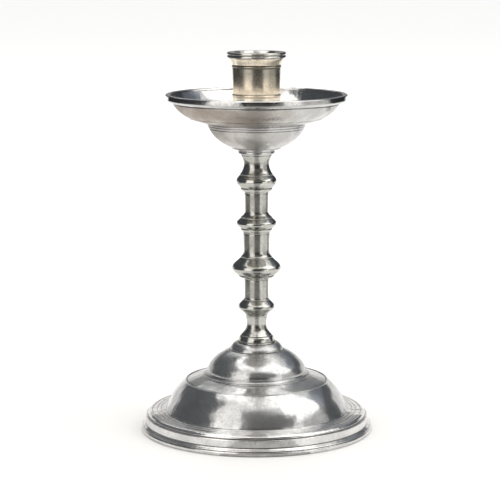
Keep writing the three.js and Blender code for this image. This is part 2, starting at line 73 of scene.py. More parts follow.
def round_over(outline, radius, height, fullness=CURVE_FULLNESS):
    """Leaves upright and arrives level."""
    x, y = outline[-1]
    upright = (x, y + (height - y) * fullness)
    level = (radius + (x - radius) * fullness, height)
    curve(outline, upright, level, radius, height)


def turn_up(outline, radius, height, fullness=CURVE_FULLNESS):
    """Leaves level and arrives upright."""
    x, y = outline[-1]
    level = (x + (radius - x) * fullness, y)
    upright = (radius, height + (y - height) * fullness)
    curve(outline, level, upright, radius, height)


LINE_WIDTH = 0.4


def cut_line(outline, depth, rise, step=0.0, width=LINE_WIDTH):
    """A fine line cut into a side, deepest at the rise; above it the side goes on a step further out."""
    x, y = outline[-1]
    line(outline, x - depth, y + rise)
    line(outline, x + step, y + width)


def grooved_line(outline, radius, height, places, depth, width):
    """A straight run with fine grooves cut into it at the given shares of its length."""
    x, y = outline[-1]
    across, up = radius - x, height - y
    length = math.hypot(across, up)
    along = (across / length, up / length)
    inward = (-along[1], along[0])
    for place in places:
        middle = place * length
        for offset, sink in ((-width / 2, 0), (0, depth), (width / 2, 0)):
            distance = middle + offset
            groove_x = x + along[0] * distance + inward[0] * sink
            groove_y = y + along[1] * distance + inward[1] * sink
            line(outline, groove_x, groove_y)
    line(outline, radius, height)


LINE_SPACING = 0.1


def even_points(outline):
    """The same outline as points a small, even distance apart."""
    points = [outline[0]]
    for (x, y), (far_x, far_y) in zip(outline, outline[1:]):
        length = math.hypot(far_x - x, far_y - y)
        count = max(1, round(length / LINE_SPACING))
        for step in range(1, count + 1):
            share = step / count
            points.append((x + (far_x - x) * share, y + (far_y - y) * share))
    return points


EDGE_SOFTNESS = 0.13
SOFTNESS_REACH = 3


def softened(points, closed):
    """Rounds every edge a little, as casting and polishing do."""
    reach = max(1, round(SOFTNESS_REACH * EDGE_SOFTNESS / LINE_SPACING))
    weights = []
    for step in range(-reach, reach + 1):
        weights.append(math.exp(-0.5 * (step * LINE_SPACING / EDGE_SOFTNESS) ** 2))
    total = sum(weights)
    count = len(points)
    soft = []
    for at, point in enumerate(points):
        if not closed and (at < reach or at >= count - reach):
            soft.append(point)
            continue
        across = up = 0.0
        for step, weight in enumerate(weights):
            near = points[(at + step - reach) % count]
            across += near[0] * weight
            up += near[1] * weight
        soft.append((across / total, up / total))
    return soft


HOLLOW_REACH = 7
HOLLOW_DEPTH = 0.22


def hollowness(points, closed):
    """How deep in a groove or corner each point lies, from 0 to 1."""
    count = len(points)
    depths = []
    for at, (x, y) in enumerate(points):
        if closed:
            before, after = points[at - HOLLOW_REACH], points[(at + HOLLOW_REACH) % count]
        else:
            before, after = points[max(0, at - HOLLOW_REACH)], points[min(count - 1, at + HOLLOW_REACH)]
        across, up = after[0] - before[0], after[1] - before[1]
        length = math.hypot(across, up) or 1.0
        sunk = ((x - before[0]) * -up + (y - before[1]) * across) / length
        depths.append(min(1.0, max(0.0, sunk / HOLLOW_DEPTH)))
    return depths


LONGEST_GAP = 1.6
TURN_LIMIT = math.radians(1.6)
HOLLOW_STEP = 0.15


def thinned(points, depths):
    """Leaves out points where the outline hardly turns and its depth in a groove hardly changes."""
    kept = [0]
    for at in range(1, len(points) - 1):
        last = points[kept[-1]]
        here, after = points[at], points[at + 1]
        first = math.atan2(here[1] - last[1], here[0] - last[0])
        second = math.atan2(after[1] - here[1], after[0] - here[0])
        turns = abs((second - first + math.pi) % (2 * math.pi) - math.pi) > TURN_LIMIT
        far = math.hypot(here[0] - last[0], here[1] - last[1]) > LONGEST_GAP
        deepens = abs(depths[at] - depths[kept[-1]]) > HOLLOW_STEP
        if turns or far or deepens:
            kept.append(at)
    kept.append(len(points) - 1)
    return [points[at] for at in kept], [depths[at] for at in kept]


def placed(name, corners, faces, finish):
    """An object made of these corners and faces."""
    mesh = bpy.data.meshes.new(name)
    mesh.from_pydata(corners, [], faces)
    mesh.materials.append(finish)
    piece = bpy.data.objects.new(name, mesh)
    bpy.context.collection.objects.link(piece)
    return piece


TURN_STEPS = 224
AXIS_RADIUS = 1e-6


def turned(name, outline, finish):
    """A piece turned about the upright axis. An outline that ends where it starts makes a ring."""
    closed = outline[0] == outline[-1]
    points = even_points(outline)
    if closed:
        points = points[:-1]
    points = softened(points, closed)
    points, depths = thinned(points, hollowness(points, closed))
    corners, hollows, rings = [], [], []
    for (radius, height), depth in zip(points, depths):
        steps = 1 if radius < AXIS_RADIUS else TURN_STEPS
        rings.append([len(corners) + step % steps for step in range(TURN_STEPS)])
        for step in range(steps):
            angle = 2 * math.pi * step / TURN_STEPS
            corners.append((radius * math.cos(angle) * MM, radius * math.sin(angle) * MM, height * MM))
            hollows.append(depth)
    pairs = list(zip(rings, rings[1:]))
    if closed:
        pairs.append((rings[-1], rings[0]))
    faces = []
    for lower_ring, upper_ring in pairs:
        for step in range(TURN_STEPS):
            ahead = (step + 1) % TURN_STEPS
            face = [lower_ring[step], lower_ring[ahead], upper_ring[ahead], upper_ring[step]]
            face = list(dict.fromkeys(face))
            if len(face) > 2:
                faces.append(face)
    piece = placed(name, corners, faces, finish)
    piece.data.shade_smooth()
    hollow = piece.data.attributes.new("hollow", "FLOAT", "POINT")
    hollow.data.foreach_set("value", hollows)
    return piece


def fitted(piece, node, body):
    """The piece stands for its CAD node and moves with that node's body."""
    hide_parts(node)
    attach(piece, body)


def seats(node):
    """Heights of a CAD node's lower and upper end, in millimetres."""
    low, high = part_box(node)
    return low.z / MM, high.z / MM


class Finish:
    """A material whose colour and surface are worked out from the place on the piece."""

    def __init__(self, name):
        self.material = bpy.data.materials.new(name)
        self.material.use_nodes = True
        self.nodes = self.material.node_tree.nodes
        self.links = self.material.node_tree.links
        self.shader = self.nodes["Principled BSDF"]
        self.place = self.nodes.new("ShaderNodeTexCoord").outputs["Object"]

    def give(self, socket, value):
        """Sets a socket to a fixed value, or joins it to what another node puts out."""
        if hasattr(value, "is_linked"):
            self.links.new(value, socket)
        else:
            socket.default_value = value

    def split(self, vector):
        """The X, Y and Z of a vector."""
        node = self.nodes.new("ShaderNodeSeparateXYZ")
        self.give(node.inputs[0], vector)
        return node.outputs["X"], node.outputs["Y"], node.outputs["Z"]

    def combined(self, x, y, z):
        """A vector of these three."""
        node = self.nodes.new("ShaderNodeCombineXYZ")
        for label, value in (("X", x), ("Y", y), ("Z", z)):
            self.give(node.inputs[label], value)
        return node.outputs[0]

    def sum_of(self, kind, *values):
        """The result of one kind of sum, such as ADD or MULTIPLY."""
        node = self.nodes.new("ShaderNodeMath")
        node.operation = kind
        for socket, value in zip(node.inputs, values):
            self.give(socket, value)
        return node.outputs[0]

    def noise(self, vector, count, layers, strength):
        """Cloudy marks: how many to the metre, how many finer layers, and how strong those are."""
        node = self.nodes.new("ShaderNodeTexNoise")
        labels = ("Vector", "Scale", "Detail", "Roughness")
        for label, value in zip(labels, (vector, count, layers, strength)):
            self.give(node.inputs[label], value)
        return node.outputs["Fac"]

    def spots(self, vector, count, inner, outer):
        """Small round spots: 1 within the inner distance of a spot's middle, 0 past the outer one."""
        node = self.nodes.new("ShaderNodeTexVoronoi")
        self.give(node.inputs["Vector"], vector)
        self.give(node.inputs["Scale"], count)
        return self.between(node.outputs["Distance"], inner, outer, 1.0, 0.0)

    def between(self, value, low, high, start, end):
        """Goes from start to end as the value goes from low to high."""
        node = self.nodes.new("ShaderNodeMapRange")
        labels = ("Value", "From Min", "From Max", "To Min", "To Max")
        for label, given in zip(labels, (value, low, high, start, end)):
            self.give(node.inputs[label], given)
        return node.outputs["Result"]

    def tinted(self, factor, first, second):
        """Goes from the first colour to the second as the factor goes from 0 to 1."""
        node = self.nodes.new("ShaderNodeMix")
        node.data_type = "RGBA"
        self.give(node.inputs["Factor"], factor)
        for label, colour in (("A", first), ("B", second)):
            self.give(node.inputs[label], (*colour, 1) if isinstance(colour, tuple) else colour)
        return node.outputs["Result"]

    def bumped(self, height, depth, strength, before=None):
        """A surface raised by the height, on top of the surface before it."""
        node = self.nodes.new("ShaderNodeBump")
        self.give(node.inputs["Height"], height)
        self.give(node.inputs["Distance"], depth)
        self.give(node.inputs["Strength"], strength)
        if before is not None:
            self.give(node.inputs["Normal"], before)
        return node.outputs["Normal"]


# Cloudy marks on the metal: how many to the metre, how many finer layers, and how strong those are.
TURNING_LINES = (2600, 3.0, 0.6)
DENTS = (120, 1.5, 0.5)
SMUDGES = (70, 4.0, 0.6)
MOTTLE = (330, 3.0, 0.6)
SPECKLE = (900, 3.0, 0.65)
# How much the turning lines change on the way round.
TURNING_DRIFT = 0.0004
# Pits: how many to the metre, and how far their floors and their sides reach from the middle.
PITS = (420, 0.1, 0.16)
# Where a mark shows: the values between which it grows, and the amounts that it grows from and to.
SMUDGE_SHADE = (0.42, 0.72, 0.0, 0.8)
MOTTLE_SHADE = (0.48, 0.72, 0.0, 0.55)
SPECKLE_SHADE = (0.5, 0.72, 0.0, 0.55)
MOTTLE_DULLING = (0.4, 0.7, 0.0, 0.06)
TARNISH_PATCHES = (0.3, 0.7, 0.55, 1.0)
BROWN_AND_SHADE_PATCHES = (0.3, 0.6, 0.6, 1.0)
# Painted shade: the underside's brown is painted darkest on the left and fades towards the right.
PAINTED_SHADE_FADE_TO_RIGHT = (-0.005, 0.025, 1.0, 0.1)
# The values between which smudges dull the metal, and the roughness there as shares of the given one.
SMUDGE_DULLING = (0.35, 0.7)
CLEAN_SHARE = 0.8
SMUDGED_SHARE = 1.5
# How a mark raises the surface: its depth in metres, and its strength.
DENT_RELIEF = (0.0006, 0.45)
MOTTLE_RELIEF = (0.0001, 0.4)
TURNING_RELIEF = (0.00003, 0.5)
PIT_RELIEF = (0.00005, 0.4)
# Pits, tarnish, and brown tarnish with painted shade under the piece: their colours, how far they cover
# the metal, and how much they dull it.
PIT_COLOUR = (0.2, 0.19, 0.17)
PIT_COVER = 0.4
TARNISH_COLOUR = (0.05, 0.047, 0.04)
TARNISH_COVER = 0.9
TARNISH_DULLING = 0.3
BROWN_AND_SHADE_COLOUR = (0.31, 0.24, 0.18)
BROWN_AND_SHADE_DULLING = 0.4
# Brown tarnish and painted shade begin where a face looks down a little, and end in a narrow edge.
BROWN_AND_SHADE_FACING = (0.1, 0.5)
BROWN_AND_SHADE_EDGE = 0.6
FILM_ROUGHNESS = 0.4


def pewter(name, tone, shade, roughness, haze=0.0, film=0.0, underside=None, painted_shade_band=None):
    """Satin pewter: fine turning lines, soft dents, pits, smudges, and tarnish left in the grooves.

    A haze or a film dulls the mirror. The underside may be given brown tarnish and painted shade out to a
    radius, by an amount; and the piece may go over to a painted shade, a darker tone, between two heights.
    """
    finish = Finish(name)
    shader = finish.shader
    shader.inputs["Metallic"].default_value = 1.0 - haze
    shader.inputs["Coat Weight"].default_value = film
    shader.inputs["Coat Roughness"].default_value = FILM_ROUGHNESS

    x, y, z = finish.split(finish.place)
    squares = finish.sum_of("ADD", finish.sum_of("POWER", x, 2.0), finish.sum_of("POWER", y, 2.0))
    out = finish.sum_of("SQRT", squares)
    drift = finish.sum_of("MULTIPLY", finish.sum_of("ARCTAN2", y, x), TURNING_DRIFT)
    turning_lines = finish.noise(finish.combined(out, z, drift), *TURNING_LINES)
    dents = finish.noise(finish.place, *DENTS)
    smudges = finish.noise(finish.place, *SMUDGES)
    mottle = finish.noise(finish.place, *MOTTLE)
    speckle = finish.noise(finish.place, *SPECKLE)
    pits = finish.spots(finish.place, *PITS)
    hollow = finish.nodes.new("ShaderNodeAttribute")
    hollow.attribute_name = "hollow"
    tarnish = finish.sum_of("MULTIPLY", hollow.outputs["Fac"], finish.between(smudges, *TARNISH_PATCHES))

    colour = finish.tinted(finish.between(smudges, *SMUDGE_SHADE), tone, shade)
    colour = finish.tinted(finish.between(mottle, *MOTTLE_SHADE), colour, shade)
    colour = finish.tinted(finish.between(speckle, *SPECKLE_SHADE), colour, shade)
    dulled = finish.between(smudges, *SMUDGE_DULLING, roughness * CLEAN_SHARE, roughness * SMUDGED_SHARE)
    dulled = finish.sum_of("ADD", dulled, finish.between(mottle, *MOTTLE_DULLING))
    dulled = finish.sum_of("ADD", dulled, finish.sum_of("MULTIPLY", tarnish, TARNISH_DULLING))
    # Painted shade: the tone goes over to the darker one between the two heights.
    if painted_shade_band:
        low, high, painted_shade_tone = painted_shade_band
        colour = finish.tinted(finish.between(z, low * MM, high * MM, 0.0, 1.0), colour, painted_shade_tone)
    # Brown tarnish and painted shade where a face looks down, painted darkest on the left.
    if underside:
        reach, amount = underside
        normal = finish.nodes.new("ShaderNodeNewGeometry").outputs["Normal"]
        downward = finish.sum_of("MULTIPLY", finish.split(normal)[2], -1.0)
        brown_and_shade = finish.between(downward, *BROWN_AND_SHADE_FACING, 0.0, amount)
        patches = (
            finish.between(out, (reach - BROWN_AND_SHADE_EDGE) * MM, reach * MM, 1.0, 0.0),
            finish.between(smudges, *BROWN_AND_SHADE_PATCHES),
            finish.between(x, *PAINTED_SHADE_FADE_TO_RIGHT),
        )
        for patch in patches:
            brown_and_shade = finish.sum_of("MULTIPLY", brown_and_shade, patch)
        colour = finish.tinted(brown_and_shade, colour, BROWN_AND_SHADE_COLOUR)
        dulled = finish.sum_of("ADD", dulled, finish.sum_of("MULTIPLY", brown_and_shade, BROWN_AND_SHADE_DULLING))
    colour = finish.tinted(finish.sum_of("MULTIPLY", pits, PIT_COVER), colour, PIT_COLOUR)
    colour = finish.tinted(finish.sum_of("MULTIPLY", tarnish, TARNISH_COVER), colour, TARNISH_COLOUR)
    finish.give(shader.inputs["Base Color"], colour)
    finish.give(shader.inputs["Roughness"], dulled)

    surface = finish.bumped(dents, *DENT_RELIEF)
    surface = finish.bumped(mottle, *MOTTLE_RELIEF, surface)
    surface = finish.bumped(turning_lines, *TURNING_RELIEF, surface)
    surface = finish.bumped(pits, *PIT_RELIEF, surface)
    finish.give(shader.inputs["Normal"], surface)
    return finish.material


FOOT_RADIUS = 64.6
FOOT_WALL = 2.6
LIP_RADIUS = 63.7
LIP_WIDEST = 1.6
LIP_ROUNDING = 0.35
LIP_ROUNDING_TOP = 2.4
LIP_LINE_DEPTH = 0.9
LIP_LINE = 2.55
LIP_SHOULDER_INSET = 0.3
LIP_SHOULDER = 2.8
LIP_TOP = 3.3
BAND_RADIUS = 62.3
BAND_LINE = 4.1
BAND_LINE_DEPTH = 0.45
BAND_LINE_RISE = 0.1
BAND_TOP_RADIUS = 62.0
BAND_TOP = 8.3
FOOT_BEAD_SEAT = 60.5
FOOT_BEAD_SEAT_RISE = 0.2
FOOT_BEAD_RADIUS = 60.8
FOOT_BEAD_BOTTOM = 8.9
FOOT_BEAD_TOP = 10.6
SHOULDER_RADIUS = 58.6
SHOULDER_GROOVES = (0.36, 0.66)
GROOVE_DEPTH = 0.2
GROOVE_WIDTH = 0.5
DOME_FOOT_RADIUS = 51.0
foot_bottom, foot_top = seats("foot_ring")
# The foot's pewter is painted lighter than the domes' pewter: painted light for the bright reflections in
# its lip and band.
foot_painted_light_pewter = pewter("foot_painted_light_pewter", tone=(0.76, 0.75, 0.74), shade=(0.52, 0.51, 0.50), roughness=0.11,
                     haze=0.06)

foot = [(LIP_RADIUS - FOOT_WALL, foot_bottom)]
line(foot, LIP_RADIUS, foot_bottom)
turn_up(foot, FOOT_RADIUS, LIP_WIDEST)
round_over(foot, FOOT_RADIUS - LIP_ROUNDING, LIP_ROUNDING_TOP)
line(foot, FOOT_RADIUS - LIP_LINE_DEPTH, LIP_LINE)
line(foot, FOOT_RADIUS - LIP_SHOULDER_INSET, LIP_SHOULDER)
round_over(foot, LIP_RADIUS, LIP_TOP)
line(foot, BAND_RADIUS, BAND_LINE)
cut_line(foot, BAND_LINE_DEPTH, BAND_LINE_RISE)
line(foot, BAND_TOP_RADIUS, BAND_TOP)
line(foot, FOOT_BEAD_SEAT, BAND_TOP + FOOT_BEAD_SEAT_RISE)
line(foot, FOOT_BEAD_RADIUS, FOOT_BEAD_BOTTOM)
round_over(foot, SHOULDER_RADIUS, FOOT_BEAD_TOP)
line(foot, SHOULDER_RADIUS - GROOVE_WIDTH / 2, FOOT_BEAD_TOP - GROOVE_DEPTH)
line(foot, SHOULDER_RADIUS - GROOVE_WIDTH, FOOT_BEAD_TOP)
grooved_line(foot, DOME_FOOT_RADIUS, foot_top, SHOULDER_GROOVES, GROOVE_DEPTH, GROOVE_WIDTH)
line(foot, DOME_FOOT_RADIUS - FOOT_WALL, foot_top)
line(foot, DOME_FOOT_RADIUS - FOOT_WALL, foot_top - FOOT_WALL)
line(foot, FOOT_BEAD_RADIUS - FOOT_WALL, FOOT_BEAD_BOTTOM - FOOT_WALL)
line(foot, *foot[0])
fitted(turned("foot_ring_turned", foot, foot_painted_light_pewter), "foot_ring", "stick")

# Lower dome: a hollow pewter shell with a sloping ledge and a small bead round the ledge's edge.
# Cast, turned, and closed by a flat web that the upper dome stands on.


def bend(outline, hold, radius, height):
    """Carries the outline on in an even curve that is pulled towards one holding point."""
    x, y = outline[-1]
    first_hold = (x + (hold[0] - x) * 2 / 3, y + (hold[1] - y) * 2 / 3)
    last_hold = (radius + (hold[0] - radius) * 2 / 3, height + (hold[1] - height) * 2 / 3)
    curve(outline, first_hold, last_hold, radius, height)


SWELL_RADIUS = 47.35
SWELL_RISE = 9.9
LEDGE_RADIUS = 39.9
LEDGE_RISE = 15.95
LEDGE_BEAD = 0.6
LEDGE_BEAD_LEAN = 0.1
LEDGE_GROOVE = 1.0
LEDGE_GROOVE_RISE = 0.15
LEDGE_START = 1.4
LEDGE_START_RISE = 0.5
CAP_RADIUS = 29.8
DOME_WALL = 2.0
ROD_BORE = 2.8
PEWTER_TONE = (0.56, 0.562, 0.558)
PEWTER_SHADE = (0.37, 0.372, 0.368)
dome_bottom, dome_top = seats("base_dome")
swell_height = dome_bottom + SWELL_RISE
ledge_height = dome_bottom + LEDGE_RISE
base_pewter = pewter("base_pewter", PEWTER_TONE, PEWTER_SHADE, roughness=0.15, haze=0.05, film=0.45)

dome = [(ROD_BORE, dome_top - DOME_WALL)]
line(dome, CAP_RADIUS - DOME_WALL, dome_top - DOME_WALL)
line(dome, LEDGE_RADIUS - DOME_WALL, ledge_height - DOME_WALL)
bend(dome, (SWELL_RADIUS - DOME_WALL, swell_height - DOME_WALL), DOME_FOOT_RADIUS - DOME_WALL, dome_bottom)
line(dome, DOME_FOOT_RADIUS, dome_bottom)
bend(dome, (SWELL_RADIUS, swell_height), LEDGE_RADIUS, ledge_height)
turn_up(dome, LEDGE_RADIUS - LEDGE_BEAD_LEAN, ledge_height + LEDGE_BEAD / 2)
round_over(dome, LEDGE_RADIUS - LEDGE_BEAD, ledge_height + LEDGE_BEAD)
line(dome, LEDGE_RADIUS - LEDGE_GROOVE, ledge_height + LEDGE_GROOVE_RISE)
line(dome, LEDGE_RADIUS - LEDGE_START, ledge_height + LEDGE_START_RISE)
line(dome, CAP_RADIUS, dome_top)
line(dome, ROD_BORE, dome_top)
line(dome, *dome[0])
fitted(turned("base_dome_turned", dome, base_pewter), "base_dome", "stick")

# Upper dome: a hollow pewter shell with a small cove round its foot and a rounded collar on top.
# Cast and turned, held down on the web by the tie rod's pull.

CAP_EDGE = 0.4
CAP_COVE_RISE = 2.4
CAP_DOME_RADIUS = 27.4
CAP_SIDE_RISE = 5.0
CROWN_RADIUS = 19.9
CROWN_FALL = 1.8
COLLAR_RADIUS = 14.9
COLLAR_HEIGHT = 4.0
COLLAR_GAP = 0.4
COLLAR_GAP_FALL = 0.15
COLLAR_UNDERCUT = 0.1
COLLAR_EDGE = 0.2
COLLAR_FULLNESS = 0.3
COLLAR_SEAT = 11.3
COLLAR_SEAT_EDGE = 0.3
COLLAR_SEAT_STEP = 0.1
CAP_WALL = 2.0
CAP_CEILING_FALL = 0.9
CAP_HOLLOW_FULLNESS = 0.43
cap_bottom, cap_top = seats("base_cap")
cove_top = cap_bottom + CAP_COVE_RISE
collar_bottom = cap_top - COLLAR_HEIGHT
crown_height = collar_bottom - CROWN_FALL
ceiling = collar_bottom - CAP_CEILING_FALL - CAP_WALL
cap_pewter = pewter("cap_pewter", PEWTER_TONE, PEWTER_SHADE, roughness=0.2, haze=0.05, film=0.25)

cap = [(CAP_DOME_RADIUS - CAP_WALL, cap_bottom)]
line(cap, CAP_RADIUS, cap_bottom)
line(cap, CAP_RADIUS, cap_bottom + CAP_EDGE)
turn_up(cap, CAP_DOME_RADIUS, cove_top)
curve(cap, (CAP_DOME_RADIUS, cove_top + CAP_SIDE_RISE), (CROWN_RADIUS, crown_height),
      COLLAR_RADIUS + COLLAR_GAP, collar_bottom - COLLAR_GAP_FALL)
line(cap, COLLAR_RADIUS - COLLAR_UNDERCUT, collar_bottom - COLLAR_UNDERCUT)
line(cap, COLLAR_RADIUS, collar_bottom + COLLAR_EDGE)
round_over(cap, COLLAR_SEAT + COLLAR_SEAT_EDGE, cap_top - COLLAR_SEAT_STEP, COLLAR_FULLNESS)
line(cap, COLLAR_SEAT, cap_top)
line(cap, ROD_BORE, cap_top)
line(cap, ROD_BORE, ceiling)
line(cap, COLLAR_RADIUS, ceiling)
turn_up(cap, CAP_DOME_RADIUS - CAP_WALL, cap_bottom, CAP_HOLLOW_FULLNESS)
fitted(turned("base_cap_turned", cap, cap_pewter), "base_cap", "stick")

# Stem foot: the small bell that carries the stem, with a bead round its shoulder.
# Solid pewter, turned and bored for the tie rod.

BELL_RADIUS = 10.8
BELL_TREAD_INSET = 0.2
BELL_TREAD_RISE = 0.25
BELL_RIM_INSET = 0.6
BELL_RIM_RISE = 0.7
BELL_STEP_INSET = 0.8
BELL_STEP_RISE = 0.6
BELL_BEAD_RADIUS = 8.7
BELL_BEAD_RISE = 4.0
BELL_BEAD_INSET = 0.2
BELL_BEAD_FALL = 0.1
BELL_BEAD_EDGE = 0.2
BELL_SWEEP_INSET = 0.7
BELL_SWEEP_RISE = 4.9
BELL_NECK_RADIUS = 5.5
BELL_NECK_FALL = 4.2
BELL_TOP_RADIUS = 6.0
BELL_TOP_PULL = 2.2
bell_bottom, bell_top = seats("stem_foot")
bell_bead = bell_bottom + BELL_BEAD_RISE
bell_sweep = bell_bottom + BELL_SWEEP_RISE
bell_neck = bell_top - BELL_NECK_FALL
stem_pewter = pewter("stem_pewter", tone=(0.57, 0.567, 0.53), shade=(0.38, 0.377, 0.345), roughness=0.13)

bell = [(ROD_BORE, bell_bottom)]
line(bell, BELL_RADIUS - BELL_TREAD_INSET, bell_bottom)
line(bell, BELL_RADIUS, bell_bottom + BELL_TREAD_RISE)
round_over(bell, BELL_RADIUS - BELL_RIM_INSET, bell_bottom + BELL_RIM_RISE)
line(bell, BELL_RADIUS - BELL_STEP_INSET, bell_bottom + BELL_STEP_RISE)
round_over(bell, BELL_BEAD_RADIUS - BELL_BEAD_INSET, bell_bead - BELL_BEAD_FALL)
line(bell, BELL_BEAD_RADIUS, bell_bead + BELL_BEAD_EDGE)
line(bell, BELL_BEAD_RADIUS - BELL_SWEEP_INSET, bell_sweep)
bend(bell, (BELL_NECK_RADIUS, (bell_sweep + bell_neck) / 2), BELL_NECK_RADIUS, bell_neck)
bend(bell, (BELL_NECK_RADIUS, bell_top - BELL_TOP_PULL), BELL_TOP_RADIUS, bell_top)
line(bell, ROD_BORE, bell_top)
line(bell, *bell[0])
fitted(turned("stem_foot_turned", bell, stem_pewter), "stem_foot", "stick")

# Stem sections: four knops with their columns, three of them on step rings, stacked one on another.
# Solid pewter, each turned and bored, threaded on the tie rod.

NOSE_ROUND = 0.36
NOSE_SLANT = 0.5
RIDGE = 0.17
HEAD_LINE_FALL = 1.2
HEAD_LINE_DEPTH = 0.2
HEAD_LINE_RISE = 0.2
HEAD_LINE_FLARE = 0.75
HEAD_LINE_STEP = 0.08


def ogee(outline, radius, height, leave, arrive):
    """Leaves and arrives upright."""
    x, y = outline[-1]
    rise = height - y
    curve(outline, (x, y + rise * leave), (radius, height - rise * arrive), radius, height)


def nose_and_cove(outline, crease_radius, crease_height, radius, height):
    """From a knop's widest point: a round nose, a fine ridge, then a cove that arrives upright."""
    x, y = outline[-1]
    slant = (x - crease_radius) * NOSE_SLANT
    nose_top = (x, y + (crease_height - y) * NOSE_ROUND)
    curve(outline, nose_top, (crease_radius + slant, crease_height - slant), crease_radius, crease_height)
    line(outline, crease_radius + RIDGE, crease_height + RIDGE)
    line(outline, crease_radius + RIDGE, crease_height + 2 * RIDGE)
    line(outline, crease_radius - RIDGE, crease_height + 3 * RIDGE)
    bend(outline, (radius, (crease_height + height) / 2), radius, height)


def column_head(outline, radius, flare, top):
    """A column that opens a little towards its top, with one fine line cut just under its end."""
    x, y = outline[-1]
    line_height = top - HEAD_LINE_FALL
    bend(outline, (x, (y + line_height) / 2), radius + flare * HEAD_LINE_FLARE, line_height)
    cut_line(outline, HEAD_LINE_DEPTH, HEAD_LINE_RISE, flare * HEAD_LINE_STEP)
    line(outline, radius + flare, top)


LOWER_KNOP_RADIUS = 10.2
LOWER_KNOP_UNDER = 5.7
LOWER_KNOP_OVER = 5.5
LOWER_KNOP_LEAVE = 0.44
LOWER_KNOP_ARRIVE = 0.33
LOWER_CREASE_RISE = 4.0
LOWER_CREASE_PROJECTION = 0.4
LOWER_COLUMN_RADIUS = 6.7
lower_bottom, lower_top = seats("stem_lower")
lower_widest = lower_bottom + LOWER_KNOP_UNDER

lower = [(ROD_BORE, lower_bottom)]
line(lower, BELL_TOP_RADIUS, lower_bottom)
ogee(lower, LOWER_KNOP_RADIUS, lower_widest, LOWER_KNOP_LEAVE, LOWER_KNOP_ARRIVE)
nose_and_cove(lower, LOWER_COLUMN_RADIUS + LOWER_CREASE_PROJECTION, lower_widest + LOWER_CREASE_RISE,
              LOWER_COLUMN_RADIUS, lower_widest + LOWER_KNOP_OVER)
column_head(lower, LOWER_COLUMN_RADIUS, flare=0.0, top=lower_top)
line(lower, ROD_BORE, lower_top)
line(lower, *lower[0])
fitted(turned("stem_lower_turned", lower, stem_pewter), "stem_lower", "stick")

RING_LEAN = 0.7
RING_SHOULDER = 0.5
RING_EDGE = 0.3
RING_ROUNDING = 0.4
KNOP_FULLNESS = 0.37
KNOPS = (
    # node, ring radius and height, knop radius, rise under and over its widest,
    # crease rise and projection, column radius and flare
    ("stem_main_knop", 10.0, 1.4, 13.6, 4.0, 9.5, 5.9, 1.3, 7.2, 0.2),
    ("stem_middle", 8.8, 1.8, 11.0, 2.8, 6.6, 3.0, 2.1, 6.45, 0.3),
    ("stem_upper", 8.8, 1.9, 11.1, 3.8, 9.5, 3.4, 1.9, 7.05, 1.9),
)
for node, ring, ring_height, widest, under, over, crease, projection, column, flare in KNOPS:
    bottom, top = seats(node)
    ring_top = bottom + ring_height
    middle = ring_top + under
    knop = [(ROD_BORE, bottom)]
    line(knop, ring - RING_LEAN, bottom)
    line(knop, ring, ring_top - RING_SHOULDER)
    line(knop, ring, ring_top - RING_EDGE)
    line(knop, ring - RING_ROUNDING, ring_top)
    turn_up(knop, widest, middle, KNOP_FULLNESS)
    nose_and_cove(knop, column + projection, middle + crease, column, middle + over)
    column_head(knop, column, flare, top)
    line(knop, ROD_BORE, top)
    line(knop, *knop[0])
    fitted(turned(node + "_turned", knop, stem_pewter), node, "stick")

# Bowl under the pan: a thick cup on two small rings, hollow above.
# Cast pewter, turned, with the tie rod screwed into its bottom.

BOWL_RING_RADIUS = 10.1
BOWL_RING_HEIGHT = 2.6
BOWL_RING_GROOVES = (0.5,)
BOWL_FOOT_RADIUS = 13.5
BOWL_FOOT_HEIGHT = 0.5
BOWL_BELLY_RADIUS = 22.9
BOWL_BELLY_RISE = 6.9
BOWL_RADIUS = 27.2
BOWL_BAND_HEIGHT = 1.4
BOWL_LINE_INSETS = (1.25, 0.5)
BOWL_LINE_DEPTH = 0.2
BOWL_LINE_RISE = 0.25
BOWL_LINE_STEP = 0.25
BOWL_WALL = 3.5
BOWL_FLOOR_RADIUS = 16.1
BOWL_FLOOR_RISE = 8.1
ROD_GRIP = 6.5
BOWL_BROWN_AND_SHADE_REACH = 28.2
BOWL_BROWN_AND_SHADE_AMOUNT = 0.45
bowl_bottom, bowl_top = seats("pan_bowl")
bowl_ring_top = bowl_bottom + BOWL_RING_HEIGHT
bowl_floor = bowl_bottom + BOWL_FLOOR_RISE
rod_end = bowl_bottom + ROD_GRIP
band_bottom = bowl_top - BOWL_BAND_HEIGHT
bowl_lines = (band_bottom - BOWL_BAND_HEIGHT, band_bottom)
# The bowl's pewter is painted lighter than the domes' pewter, painted light for its bright reflections;
# under it lie brown tarnish and painted shade.
bowl_painted_light_pewter = pewter("bowl_painted_light_pewter", tone=(0.75, 0.75, 0.755), shade=(0.54, 0.54, 0.535), roughness=0.22,
                     underside=(BOWL_BROWN_AND_SHADE_REACH, BOWL_BROWN_AND_SHADE_AMOUNT))

